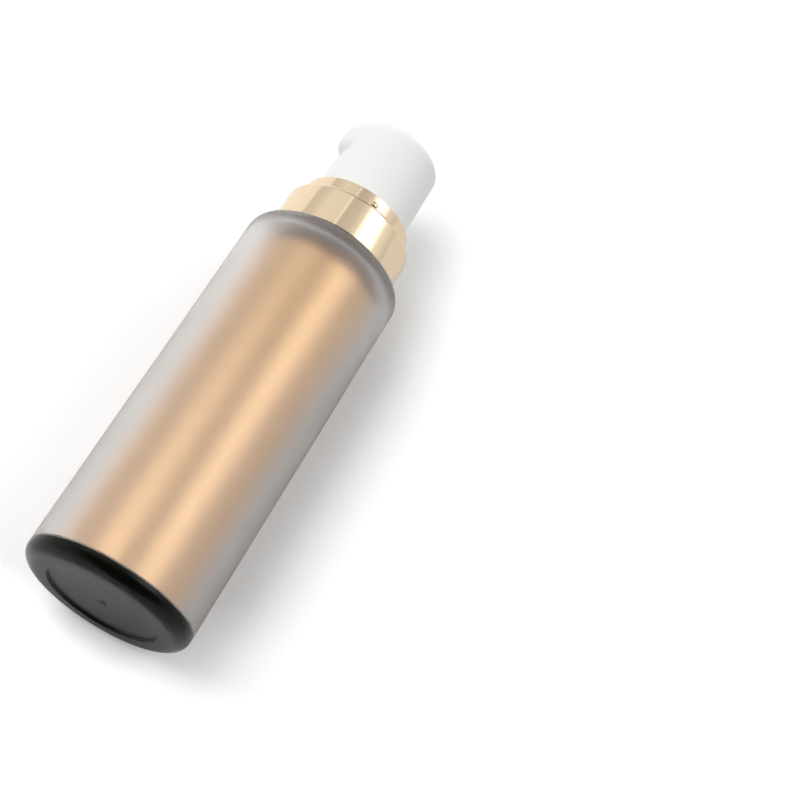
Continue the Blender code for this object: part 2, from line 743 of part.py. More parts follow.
def return_spring():
    points = spring_points()
    print("least gap between the spring's turns, mm:", round(least_wire_gap(points) / MM, 3))
    curve = bpy.data.curves.new("return_spring", "CURVE")
    curve.dimensions = "3D"
    curve.bevel_depth = SPRING_WIRE / 2
    curve.bevel_resolution = WIRE_RESOLUTION
    curve.use_fill_caps = True
    line = curve.splines.new("POLY")
    line.points.add(len(points) - 1)
    for place, point in zip(line.points, points):
        place.co = (*point, 1.0)
    spring = bpy.data.objects.new("return_spring", curve)
    bpy.context.collection.objects.link(spring)
    curve.materials.append(plastic("spring_steel", (0.60, 0.60, 0.61), 0.25, metallic=1.0))
    return spring


def smooth_least(first, second, blend):
    """The lesser of two values, rounded off where they meet."""
    near = max(blend - abs(first - second), 0) / blend
    return min(first, second) - near * near * blend / 4


def front_reach(height):
    """How far forward the head's front reaches below the beak."""
    start = HEAD_RADIUS + THROAT_BLEND
    along = min(max(height - throat_start, 0) / THROAT_LENGTH, 1)
    curve = THROAT_CURVE_SHARE * along**4 + (1 - THROAT_CURVE_SHARE) * along
    return start - (start - throat_reach) * curve


def rounded_inset(height, start, drop, inset):
    """How far a rounded top edge has drawn in at a height."""
    rise = min(max(height - start, 0) / drop, 1)
    return inset * (1 - math.sqrt(1 - rise * rise))


def body_circle(height):
    """Centre and radius of the head's body; its top's rounding leans towards the nozzle."""
    draft = HEAD_DRAFT * min((height - skirt_bottom) / (head_top_start - skirt_bottom), 1)
    drawn = rounded_inset(height, head_top_start, HEAD_TOP_DROP, HEAD_TOP_INSET)
    return HEAD_TOP_LEAN_SHARE * drawn, HEAD_RADIUS - draft - drawn


def tip_circle(height):
    inset = BEAK_TIP_RADIUS - BEAK_TOP_RADIUS
    drawn = rounded_inset(height, head_top - BEAK_TIP_DROP, BEAK_TIP_DROP, inset)
    return beak_reach - BEAK_TIP_RADIUS, BEAK_TIP_RADIUS - drawn


def circle_reach(angle, center, radius):
    return center * math.cos(angle) + math.sqrt(radius**2 - (center * math.sin(angle)) ** 2)


def hull_reach(angle, back, front):
    """Distance to the outline drawn round two circles, as a belt lies round two wheels."""
    if front[0] + front[1] <= back[0] + back[1]:
        return circle_reach(angle, *back)
    touch = math.acos((back[1] - front[1]) / (front[0] - back[0]))
    leave = math.atan2(back[1] * math.sin(touch), back[0] + back[1] * math.cos(touch))
    join = math.atan2(front[1] * math.sin(touch), front[0] + front[1] * math.cos(touch))
    if abs(angle) >= leave:
        return circle_reach(angle, *back)
    if abs(angle) >= join:
        return (back[1] + back[0] * math.cos(touch)) / math.cos(touch - abs(angle))
    return circle_reach(angle, *front)


def head_outline_radius(angle, height):
    """The head's radius at an angle from the nozzle's direction."""
    body = body_circle(height)
    throat = circle_reach(angle, *body)
    if math.cos(angle) > 0:
        throat = smooth_least(throat, front_reach(height) / math.cos(angle), THROAT_BLEND)
    if height <= throat_height:
        return throat
    full = hull_reach(angle, body, tip_circle(height))
    along = min((height - throat_height) / (beak_face_start - throat_height), 1)
    return throat + (full - throat) * math.sin(math.pi / 2 * along)


def head_heights():
    """Heights of the lofted rings, closer together where the outline turns."""
    heights = [skirt_bottom, throat_start]
    heights += [throat_start + share * THROAT_LENGTH for share in THROAT_RING_SHARES]
    heights.append(throat_height)
    face_rise = beak_face_start - throat_height
    heights += [throat_height + share * face_rise for share in BEAK_RING_SHARES]
    heights.append(beak_face_start)
    for step in range(TOP_RINGS + 1):
        heights.append(head_top_start + HEAD_TOP_DROP * math.sin(math.pi / 2 * step / TOP_RINGS))
    return heights


def head_point(angle, height):
    """A point of the head's surface; the top's rounding climbs a little towards the nozzle."""
    radius = head_outline_radius(math.remainder(angle, math.tau), height)
    ahead = radius * math.cos(angle)
    share = max(height - head_top_start, 0) / HEAD_TOP_DROP
    climb = HEAD_TOP_RISE * share * ahead / HEAD_RADIUS
    return (radius * math.sin(angle), -ahead, height + climb)


def head_form(name, material):
    bm = bmesh.new()
    rings = []
    for height in head_heights():
        angles = [math.tau * step / OUTER_STEPS for step in range(OUTER_STEPS)]
        rings.append([bm.verts.new(head_point(angle, height)) for angle in angles])
    for low, high in zip(rings, rings[1:]):
        for step in range(OUTER_STEPS):
            after = (step + 1) % OUTER_STEPS
            bm.faces.new((low[step], low[after], high[after], high[step]))
    bm.faces.new(rings[0])
    bm.faces.new(rings[-1])
    return add_object(name, bm, material)


def head_cavity():
    """The hollow under the crown, with ribs and the nozzle's channel tube left standing in it."""
    boss = stem_hole_radius + SOCKET_WALL
    chamfer = CROWN_CHAMFER_SHARE * (upper_cavity_radius - boss)
    skirt = HEAD_RADIUS - SKIRT_WALL
    outline = [
        (0, skirt_bottom - CUT_OVERRUN),
        (skirt, skirt_bottom - CUT_OVERRUN),
        (skirt, skirt_bottom + SKIRT_DEEP),
        (upper_cavity_radius, skirt_bottom + SKIRT_DEEP + CAVITY_TAPER),
        (upper_cavity_radius, head_ceiling - chamfer),
        (upper_cavity_radius - chamfer, head_ceiling),
        (boss, head_ceiling),
        (boss, socket_bottom),
        (0, socket_bottom),
    ]
    cavity = turned("head_cavity_cutter", outline, INNER_STEPS)
    tube = rod_along(
        "channel_tube_shape",
        (0, 0, nozzle_height),
        (0, -beak_reach, nozzle_height),
        CHANNEL_RADIUS + CHANNEL_WALL,
        BORE_STEPS,
    )
    cut(cavity, tube)
    rib_low = socket_bottom + RIB_CLEARANCE
    rib_high = head_ceiling + CUT_OVERRUN
    inside = stem_hole_radius
    outside = upper_cavity_radius + CUT_OVERRUN
    ribs = radial_slabs("head_rib_shapes", RIB_COUNT, inside, outside, RIB_THICKNESS, rib_low, rib_high)
    cut(cavity, ribs)
    return cavity


def head_socket():
    outline = [
        (0, socket_bottom - CUT_OVERRUN),
        (stem_hole_radius, socket_bottom - CUT_OVERRUN),
        (stem_hole_radius, socket_bottom + SOCKET_DEPTH),
        (RISER_RADIUS, socket_bottom + SOCKET_DEPTH),
        (RISER_RADIUS, nozzle_height),
        (0, nozzle_height),
    ]
    return turned("stem_socket_cutter", outline, BORE_STEPS)


def nozzle_bore(name, start, radius):
    """A cutter along the nozzle's line, out through the beak's tip."""
    end = (0, -beak_reach - CUT_OVERRUN, nozzle_height)
    return rod_along(name, (0, -start, nozzle_height), end, radius, BORE_STEPS)


def pump_head():
    white = plastic("head_white", (0.86, 0.86, 0.86), 0.4)
    head = head_form("pump_head", white)
    seat_start = beak_reach - INSERT_INSET - INSERT_LENGTH - SEAT_GAP
    cut(head, head_cavity())
    cut(head, head_socket())
    cut(head, nozzle_bore("nozzle_channel_cutter", 0, CHANNEL_RADIUS))
    cut(head, nozzle_bore("insert_seat_cutter", seat_start, INSERT_RADIUS + SEAT_GAP))
    return head


def nozzle_insert():
    """The small tube pressed into the beak, turned upright and then laid along -Y."""
    outline = [
        (INSERT_BORE, 0),
        (INSERT_RADIUS, 0),
        (INSERT_RADIUS, INSERT_LENGTH),
        (INSERT_BORE, INSERT_LENGTH),
    ]
    white = plastic("insert_white", (0.84, 0.84, 0.84), 0.3)
    insert = turned("nozzle_insert", outline, BORE_STEPS, white)
    insert.rotation_euler = (math.pi / 2, 0, 0)
    insert.location = (0, INSERT_LENGTH + INSERT_INSET - beak_reach, nozzle_height)
    return insert


def joint_empty(name, height, parent=None):
    empty = bpy.data.objects.new(name, None)
    bpy.context.collection.objects.link(empty)
    empty.location = (0, 0, height)
    empty.parent = parent
    return empty


def hang_on(empty, pieces):
    """Parents pieces to an empty and leaves them where they are."""
    bpy.context.view_layer.update()
    for piece in pieces:
        piece.parent = empty
        piece.matrix_parent_inverse = empty.matrix_world.inverted()


def build():
    clear_scene()
    base_plug()
    outer_shell()
    inner_bottle()
    collar()
    snap_closure()
    neck_gasket()
    pump_housing()
    ball_cage()
    stem_guide()
    return_spring()
    stem_slide = joint_empty("stem_slide_axis", stem_bottom)
    hang_on(stem_slide, [stem(), piston_rod(), pump_piston()])
    swivel = joint_empty("head_swivel_axis", 0, stem_slide)
    hang_on(swivel, [pump_head(), nozzle_insert()])
    hang_on(joint_empty("follower_slide_axis", follower_bottom), [follower_piston()])
    hang_on(joint_empty("inlet_lift_axis", 0), [inlet_ball()])


build()
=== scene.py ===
import math

import bmesh
import bpy
from mathutils import Matrix, Vector


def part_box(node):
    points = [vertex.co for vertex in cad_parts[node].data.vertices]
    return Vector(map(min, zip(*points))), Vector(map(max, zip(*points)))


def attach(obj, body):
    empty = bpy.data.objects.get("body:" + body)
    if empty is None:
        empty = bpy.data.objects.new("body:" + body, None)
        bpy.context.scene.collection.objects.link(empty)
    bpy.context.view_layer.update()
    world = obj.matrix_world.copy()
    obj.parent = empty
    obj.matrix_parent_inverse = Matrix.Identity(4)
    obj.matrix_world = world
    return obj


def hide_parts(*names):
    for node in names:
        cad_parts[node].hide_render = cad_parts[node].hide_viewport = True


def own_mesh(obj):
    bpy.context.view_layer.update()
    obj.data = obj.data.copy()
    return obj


# Airless lotion bottle: frosted shell, satin gold inner cup, polished gold collar, white press-down head.
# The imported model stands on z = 0 with its beak along -Y. Piece sizes below are in millimetres.

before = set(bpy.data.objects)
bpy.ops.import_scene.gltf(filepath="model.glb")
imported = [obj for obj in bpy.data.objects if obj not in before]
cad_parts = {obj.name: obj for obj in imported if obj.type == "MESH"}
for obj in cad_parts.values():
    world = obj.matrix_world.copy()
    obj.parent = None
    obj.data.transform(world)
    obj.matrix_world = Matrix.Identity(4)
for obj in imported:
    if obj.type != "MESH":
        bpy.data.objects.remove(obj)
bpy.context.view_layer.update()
lib = bpy.data
mm = 0.001
perMetre = 1000
smoothDeg = 40  # edges that bend more than this stay sharp
filletSteps = 4
filletShare = 0.48  # the most of an edge that one fillet may take
onAxis = 1e-7  # a point nearer the axis than this, in metres, lies on it


# Shader helpers

class Wire:  # one output socket, so that shader maths reads as plain expressions
    def __init__(self, owner, socket):
        self.owner = owner
        self.socket = socket

    def calc(self, operation, first, second=0.0):
        return self.owner.calc(operation, first, second)

    def __add__(self, other):
        return self.calc("ADD", self, other)

    __radd__ = __add__

    def __sub__(self, other):
        return self.calc("SUBTRACT", self, other)

    def __rsub__(self, other):
        return self.calc("SUBTRACT", other, self)

    def __mul__(self, other):
        return self.calc("MULTIPLY", self, other)

    __rmul__ = __mul__

    def __truediv__(self, other):
        return self.calc("DIVIDE", self, other)

    def __rtruediv__(self, other):
        return self.calc("DIVIDE", other, self)

    def __pow__(self, other):
        return self.calc("POWER", self, other)

    def __rpow__(self, other):
        return self.calc("POWER", other, self)

    def above(self, edge, width):  # 0 below the edge, 1 above it, smooth across the width
        return self.owner.node(
            "MapRange",
            {"interpolation_type": "SMOOTHSTEP"},
            {"Value": self, "From Min": edge - width / 2, "From Max": edge + width / 2},
        )


class Nodes:  # adds nodes to a material or world
    def __init__(self, owner):
        owner.use_nodes = True
        self.tree = owner.node_tree

    def feed(self, socket, value):
        if isinstance(value, Wire):
            self.tree.links.new(value.socket, socket)
        elif socket.type == "RGBA" and len(value) == 3:
            socket.default_value = (*value, 1)
        else:
            socket.default_value = value

    def node(self, kind, settings, values, output=0):
        made = self.tree.nodes.new("ShaderNode" + kind)
        for label, value in settings.items():
            if label == "stops":
                self.fillRamp(made.color_ramp.elements, value)
            else:
                setattr(made, label, value)
        for label, value in values.items():
            self.feed(made.inputs[label], value)
        return Wire(self, made.outputs[output])

    def calc(self, operation, first, second=0.0):
        values = {0: first, 1: second}
        if operation == "WRAP":
            values = {0: first, 1: second[1], 2: second[0]}
        return self.node("Math", {"operation": operation}, values)

    def fillRamp(self, elements, stops):  # stops are (place, grey value) pairs
        while len(elements) < len(stops):
            elements.new(0.5)
        for element, (place, grey) in zip(elements, stops):
            element.position = place
            element.color = (grey, grey, grey, 1)

    def split(self, place):  # the three numbers of a vector
        parts = self.node("SeparateXYZ", {}, {"Vector": place}).socket.node.outputs
        return [Wire(self, part) for part in parts]


class Finish(Nodes):  # a material and its Principled shader
    def __init__(self, name, color, roughness, **constants):
        self.material = lib.materials.new(name)
        super().__init__(self.material)
        self.shader = self.tree.nodes["Principled BSDF"]
        self.shader.inputs["Base Color"].default_value = (*color, 1)
        self.shader.inputs["Roughness"].default_value = roughness
        for label, value in constants.items():
            self.shader.inputs[label.replace("_", " ")].default_value = value
        self.color = color
        self.place = self.node("TexCoord", {}, {}, "Object")

    def reach(self):  # distance from the bottle's axis in mm
        x, y, _ = self.split(self.place)
        return (x * x + y * y) ** 0.5 * perMetre

    def height(self):  # height above the bottle's foot in mm
        return self.split(self.place)[2] * perMetre

    def noise(self, size, detail, stretch=None):  # soft noise with grains about that many mm across
        place = self.place
        if stretch:
            place = self.node("VectorMath", {"operation": "MULTIPLY"}, {0: place, 1: stretch})
        return self.node("TexNoise", {}, {"Vector": place, "Scale": perMetre / size, "Detail": detail}, "Fac")

    def blend(self, share, first, second):
        return self.node("Mix", {"data_type": "RGBA"}, {"Factor": share, 6: first, 7: second}, 2)

    def tint(self, share, other):  # base colour from the finish's own colour towards another
        self.feed(self.shader.inputs["Base Color"], self.blend(share, self.color, other))

    def rough(self, value):
        self.feed(self.shader.inputs["Roughness"], value)

    def relief(self, height, depth):  # bump whose full height is depth mm
        bump = self.node("Bump", {}, {"Height": height, "Distance": depth * mm})
        self.feed(self.shader.inputs["Normal"], bump)


# Mesh helpers

def addPiece(name, bm, material):
    bmesh.ops.recalc_face_normals(bm, faces=bm.faces)
    mesh = lib.meshes.new(name)
    bm.to_mesh(mesh)
    bm.free()
    mesh.shade_smooth()
    mesh.set_sharp_from_angle(angle=math.radians(smoothDeg))
    piece = lib.objects.new(name, mesh)
    bpy.context.scene.collection.objects.link(piece)
    if material:
        mesh.materials.append(material)
    return piece


def rounded(corners):  # (radius, height, fillet) corners in mm to outline points in metres
    points = []
    for index, (radius, height, fillet) in enumerate(corners):
        here = Vector((radius, height))
        if not fillet:
            points.append(here * mm)
            continue
        before = Vector(corners[index - 1][:2]) - here
        after = Vector(corners[(index + 1) % len(corners)][:2]) - here
        half = before.angle(after) / 2
        setback = min(fillet / math.tan(half), filletShare * before.length, filletShare * after.length)
        bend = setback * math.tan(half)
        before.normalize()
        after.normalize()
        centre = here + (before + after).normalized() * bend / math.sin(half)
        start = here + before * setback - centre
        end = here + after * setback - centre
        for step in range(filletSteps + 1):
            way = start.lerp(end, step / filletSteps).normalized() * bend
            points.append((centre + way) * mm)
    return points


def arc(centre, size, startDeg, endDeg, steps):  # points of an elliptical arc as sharp corners
    found = []
    for step in range(steps + 1):
        angle = math.radians(startDeg + (endDeg - startDeg) * step / steps)
        found.append((centre[0] + size[0] * math.cos(angle), centre[1] + size[1] * math.sin(angle), 0))
    return found


def turned(name, outline, steps, material):  # spins a closed outline round the bottle's axis
    bm = bmesh.new()
    rings = []
    turns = [math.tau * step / steps for step in range(steps)]
    for radius, height in outline:
        if radius < onAxis:
            rings.append([bm.verts.new((0, 0, height))] * steps)
            continue
        rings.append([bm.verts.new((radius * math.cos(t), radius * math.sin(t), height)) for t in turns])
    closed = outline[0][0] > onAxis
    pairs = list(zip(rings, rings[1:])) + ([(rings[-1], rings[0])] if closed else [])
    for low, high in pairs:
        for step in range(steps):
            after = (step + 1) % steps
            corners = list(dict.fromkeys((low[step], low[after], high[after], high[step])))
            if len(corners) > 2:
                bm.faces.new(corners)
    return addPiece(name, bm, material)


def carve(piece, cutter, operation="DIFFERENCE"):  # boolean, applied at once
    change = piece.modifiers.new(cutter.name, "BOOLEAN")
    change.operation = operation
    change.solver = "EXACT"
    change.object = cutter
    bpy.context.view_layer.update()
    shaped = piece.evaluated_get(bpy.context.evaluated_depsgraph_get())
    mesh = lib.meshes.new_from_object(shaped)
    piece.modifiers.clear()
    piece.data = mesh
    lib.objects.remove(cutter)
    mesh.shade_smooth()
    mesh.set_sharp_from_angle(angle=math.radians(smoothDeg))


def bar(name, start, end, radius, steps):  # a round bar between two points in mm, for cutting
    start = Vector(start) * mm
    end = Vector(end) * mm
    bm = bmesh.new()
    size = {"radius1": radius * mm, "radius2": radius * mm, "depth": (end - start).length}
    bmesh.ops.create_cone(bm, cap_ends=True, segments=steps, **size)
    turn = (end - start).to_track_quat("Z", "Y").to_matrix().to_4x4()
    bm.transform(Matrix.Translation((start + end) / 2) @ turn)
    return addPiece(name, bm, None)


def take(piece, body, node):  # the piece rides on the body and stands for the node
    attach(piece, body)
    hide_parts(node)


def repaint(node, finish):
    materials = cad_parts[node].data.materials
    materials.clear()
    materials.append(finish.material)


# Frosted outer shell

shell = {
    "radius": 19.0, "innerRadius": 17.0, "bottom": 3.75, "top": 93.5, "ceiling": 91.5,
    "shoulder": 2.66, "shoulderSteps": 14, "innerFillet": 2.0, "innerSteps": 8, "hole": 12.65,
    "holeFillet": 0.12, "lip": 0.18, "steps": 192,
    # frosting: outside this distance from the axis the face is rougher, and so is the top
    "color": (0.985, 0.985, 0.985), "outerStart": 18.2, "outerBlur": 0.6, "blurHeight": 88, "blurWidth": 5,
    "innerRough": 0.14, "innerTopRough": 0.3, "outerRough": 0.40, "outerTopRough": 0.24,
    "cloud": 9, "cloudRough": 0.05, "grain": 0.16, "grainRough": 0.04, "grainDepth": 0.012,
    # painted shade: a dark ring on the shell's top under the collar, where the gap between them lies in shade
    "gapShadeRadius": 15.95, "gapShadeBlur": 0.5, "gapShadeDepth": 0.3, "gapShadeShare": 0.8, "gapShade": (0.06, 0.04, 0.03),
    # thin milky haze in the shoulder; its warm colour is painted glow from the gold cup
    "haze": (0.95, 0.78, 0.68), "hazeRough": 0.5, "hazeShare": 0.05, "hazeHeight": 89.8, "hazeWidth": 2.0,
    # painted shade: a warm darkening of the shoulder's inner faces
    "shoulderShade": (0.78, 0.64, 0.54), "shoulderShadeHeight": 88.0, "shoulderShadeWidth": 4.0,
    "shoulderShadeTop": 92.1, "shoulderShadeFade": 0.6,
}


def frostedFinish(s):
    frost = Finish("frosted_shell", s["color"], s["outerRough"], Transmission_Weight=0.94, IOR=1.49)
    across = frost.reach()
    height = frost.height()
    outside = across.above(s["outerStart"], s["outerBlur"])
    top = height.above(s["blurHeight"], s["blurWidth"])
    grain = frost.noise(s["grain"], 3)
    cloud = frost.noise(s["cloud"], 2)
    inner = s["innerRough"] + s["innerTopRough"] * top
    outer = s["outerRough"] + s["outerTopRough"] * top
    frost.rough(inner + outside * (outer - inner + s["cloudRough"] * cloud + s["grainRough"] * grain))
    frost.relief(grain * outside, s["grainDepth"])
    # painted shade: a dark ring on the shell's top under the collar
    under = 1 - across.above(s["gapShadeRadius"], s["gapShadeBlur"])
    gapShade = height.above(s["top"] - s["gapShadeDepth"], s["gapShadeDepth"]) * under
    # painted shade: the shoulder's inner faces are darkened warm
    within = (1 - outside) * (1 - height.above(s["shoulderShadeTop"], s["shoulderShadeFade"]))
    shaded = height.above(s["shoulderShadeHeight"], s["shoulderShadeWidth"]) * within
    frost.tint(gapShade * s["gapShadeShare"] + shaded, frost.blend(gapShade, s["shoulderShade"], s["gapShade"]))
    # the haze's warm colour is painted glow from the gold cup below it
    haze = frost.node("BsdfPrincipled", {}, {"Base Color": s["haze"], "Roughness": s["hazeRough"]})
    share = s["hazeShare"] * height.above(s["hazeHeight"], s["hazeWidth"]) * (1 - gapShade)
    mix = frost.node("MixShader", {}, {0: share, 1: Wire(frost, frost.shader.outputs[0]), 2: haze})
    frost.feed(frost.tree.nodes["Material Output"].inputs["Surface"], mix)
    return frost.material


def outerShell(s):
    corners = [(s["radius"], s["bottom"], s["lip"])]
    bend = s["shoulder"]
    corners += arc((s["radius"] - bend, s["top"] - bend), (bend, bend), 0, 90, s["shoulderSteps"])
    corners += [(s["hole"], s["top"], s["holeFillet"]), (s["hole"], s["ceiling"], s["holeFillet"])]
    bend = s["innerFillet"]
    corners += arc((s["innerRadius"] - bend, s["ceiling"] - bend), (bend, bend), 90, 0, s["innerSteps"])
    corners.append((s["innerRadius"], s["bottom"], s["lip"]))
    piece = turned("outerShell", rounded(corners), s["steps"], frostedFinish(s))
    take(piece, "container", "outer_shell")


outerShell(shell)
print("frosted shell done")


# Satin gold inner cup with its neck

cup = {
    "radius": 15.3, "innerRadius": 14.3, "bottom": 3.75, "top": 91.2, "wall": 1.0, "shoulder": 1.8,
    "shoulderSteps": 10, "innerSteps": 6, "neck": 12.25, "neckBore": 10.75, "neckTop": 96.3, "bead": 13.05,
    "beadBottom": 94.8, "beadHeight": 0.6, "beadLead": 0.6, "edge": 0.15, "neckEdge": 0.1,
    "neckFillet": 0.2, "steps": 160,
    # satin gold, richer towards the top, and painted shade where the shoulder turns away under the shell
    "color": (0.92, 0.575, 0.30), "rich": (0.92, 0.55, 0.22), "richHeight": 62, "richWidth": 60,
    "richShare": 0.8, "shade": (0.20, 0.085, 0.02), "shadeHeight": 87.0, "shadeBlur": 3.6,
    "shadeShare": 0.9, "shadeCloud": 0.1, "cloud": 14, "cloudTint": 0.2, "cloudRough": 0.07,
    "grain": 0.12, "grainRough": 0.03, "grainDepth": 0.004, "rough": 0.29,
}


def satinGoldFinish(c):
    gold = Finish("satin_gold_cup", c["color"], c["rough"], Metallic=1.0)
    cloud = gold.noise(c["cloud"], 3)
    grain = gold.noise(c["grain"], 2)
    height = gold.height()
    amount = height.above(c["richHeight"], c["richWidth"]) * c["richShare"] + cloud * c["cloudTint"]
    # painted shade on the cup's top, under the shell's shoulder
    shade = height.above(c["shadeHeight"], c["shadeBlur"]) * (c["shadeShare"] + c["shadeCloud"] * cloud)
    color = gold.blend(shade, gold.blend(amount, c["color"], c["rich"]), c["shade"])
    gold.feed(gold.shader.inputs["Base Color"], color)
    gold.rough(c["rough"] + c["cloudRough"] * cloud + c["grainRough"] * grain)
    gold.relief(grain, c["grainDepth"])
    return gold.material


def innerCup(c):
    underTop = c["top"] - c["wall"]
    inner = c["shoulder"] - c["wall"]
    bend = c["shoulder"]
    beadTop = c["beadBottom"] + c["beadHeight"]
    corners = [(c["radius"], c["bottom"], c["edge"])]
    corners += arc((c["radius"] - bend, c["top"] - bend), (bend, bend), 0, 90, c["shoulderSteps"])
    corners += [
        (c["neck"], c["top"], c["neckFillet"]),
        (c["neck"], c["beadBottom"], c["neckEdge"]),
        (c["bead"], c["beadBottom"], c["edge"]),
        (c["bead"], beadTop, c["edge"]),
        (c["neck"], beadTop + c["beadLead"], c["neckEdge"]),
        (c["neck"], c["neckTop"], c["edge"]),
        (c["neckBore"], c["neckTop"], c["edge"]),
        (c["neckBore"], underTop, c["neckEdge"]),
    ]
    corners += arc((c["innerRadius"] - inner, underTop - inner), (inner, inner), 90, 0, c["innerSteps"])
    corners.append((c["innerRadius"], c["bottom"], c["edge"]))
    take(turned("innerCup", rounded(corners), c["steps"], satinGoldFinish(c)), "container", "inner_bottle")


innerCup(cup)
print("inner cup done")


# Black base plug

plug = {
    "radius": 19.0, "edgeWidth": 3.8, "edgeRise": 2.9, "edgeSteps": 18, "rimTop": 3.45,
    "recess": 12.84, "recessDepth": 0.65, "recessSlope": 0.35, "dimple": 1.35, "dimpleDepth": 0.35,
    "vent": 0.4, "floor": 2.4, "ringOuter": 16.7, "ringInner": 15.6, "ringTop": 4.25,
    "spigotOuter": 14.0, "spigotInner": 12.8, "spigotTop": 7.3, "steps": 192,
    # glossy black edge and a duller, slightly paler face, with a bright line at the recess's step
    "edge": (0.0075, 0.0078, 0.0052), "face": (0.0125, 0.0125, 0.0107), "faceStart": 16.2, "faceBlur": 2.6,
    "faceShare": 0.55, "cloud": 6, "cloudTint": 0.25, "cloudRough": 0.05, "grain": 0.1, "grainDepth": 0.006,
    "edgeRough": 0.2, "faceRough": 0.2, "edgeSheen": 0.7, "stepSheen": 0.45, "stepIn": 0.45, "stepOut": 0.1,
    "stepBlur": 0.2,
}


def blackFinish(p):
    black = Finish("black_plug", p["edge"], p["edgeRough"], IOR=1.5)
    across = black.reach()
    face = 1 - across.above(p["faceStart"], p["faceBlur"])
    cloud = black.noise(p["cloud"], 3)
    grain = black.noise(p["grain"], 2)
    black.tint(face * (p["faceShare"] + p["cloudTint"] * cloud), p["face"])
    black.rough(p["edgeRough"] + face * (p["faceRough"] + p["cloudRough"] * cloud))
    inside = across.above(p["recess"] - p["stepIn"], p["stepBlur"])
    step = inside * (1 - across.above(p["recess"] + p["stepOut"], p["stepBlur"]))
    sheen = p["edgeSheen"] - p["edgeSheen"] * face + p["stepSheen"] * step
    black.feed(black.shader.inputs["Metallic"], sheen)
    black.relief(grain * face, p["grainDepth"])
    return black.material


def basePlug(p):
    land = p["radius"] - p["edgeWidth"]
    corners = [
        (p["vent"], p["recessDepth"] + p["dimpleDepth"], 0),
        (p["dimple"], p["recessDepth"], 0.12),
        (p["recess"] - p["recessSlope"], p["recessDepth"], 0.12),
        (p["recess"], 0, 0.1),
    ]
    corners += arc((land, p["edgeRise"]), (p["edgeWidth"], p["edgeRise"]), -90, 0, p["edgeSteps"])
    corners += [
        (p["radius"], p["rimTop"], 0.1),
        (p["ringOuter"], p["rimTop"], 0),
        (p["ringOuter"], p["ringTop"], 0.3),
        (p["ringInner"], p["ringTop"], 0.15),
        (p["ringInner"], p["rimTop"], 0),
        (p["spigotOuter"], p["rimTop"], 0),
        (p["spigotOuter"], p["spigotTop"], 0.4),
        (p["spigotInner"], p["spigotTop"], 0.2),
        (p["spigotInner"], p["floor"], 0.2),
        (p["vent"], p["floor"], 0),
    ]
    take(turned("basePlug", rounded(corners), p["steps"], blackFinish(p)), "container", "base_plug")


basePlug(plug)
print("base plug done")


# Polished gold collar with its overcap bumps

collar = {
    "bottom": 93.8, "lowerTop": 104.3, "top": 108.1, "lowerRadius": 15.6, "upperRadius": 13.5,
    "rim": 1.15, "rimSteps": 10, "bore": 11.9, "well": 12.3, "lipHeight": 1.0, "lipLead": 0.4,
    "innerRadius": 14.4, "wall": 1.2, "clipBottom": 96.1, "clipHeight": 0.6, "clipDepth": 0.4,
    "edge": 0.22, "hiddenEdge": 0.1, "footEdge": 0.12, "ledgeFillet": 0.25, "steps": 192,
    "bumpRadius": 1.15, "bumpRise": 0.5, "bumpDrop": 2.5, "bumpCount": 4, "bumpFirstDeg": 13.5,
    "bumpSteps": (32, 24),
    # polished gold with faint smudges, and a painted shade band at its foot where it meets the shell
    "color": (0.94, 0.75, 0.52), "pale": (0.97, 0.80, 0.60), "gapShade": (0.05, 0.035, 0.025),
    "gapShadeHeight": 94.62, "gapShadeBlur": 0.1, "smudge": 5, "smudgeTint": 0.25, "smudgeRough": 0.06,
    "haze": 1.3, "hazeRough": 0.03, "rough": 0.05, "wave": 7, "waveDepth": 0.015,
}


def polishedGoldFinish(c):
    gold = Finish("polished_gold_collar", c["color"], c["rough"], Metallic=1.0)
    smudge = gold.noise(c["smudge"], 4)
    haze = gold.noise(c["haze"], 3, (1, 1, 0.35))
    # painted shade: a dark band at the collar's foot where it meets the shell
    footShade = 1 - gold.height().above(c["gapShadeHeight"], c["gapShadeBlur"])
    gold.tint(smudge * c["smudgeTint"] * (1 - footShade) + footShade, gold.blend(footShade, c["pale"], c["gapShade"]))
    gold.rough(c["rough"] + c["smudgeRough"] * smudge + c["hazeRough"] * haze)
    gold.relief(gold.noise(c["wave"], 1), c["waveDepth"])
    return gold.material


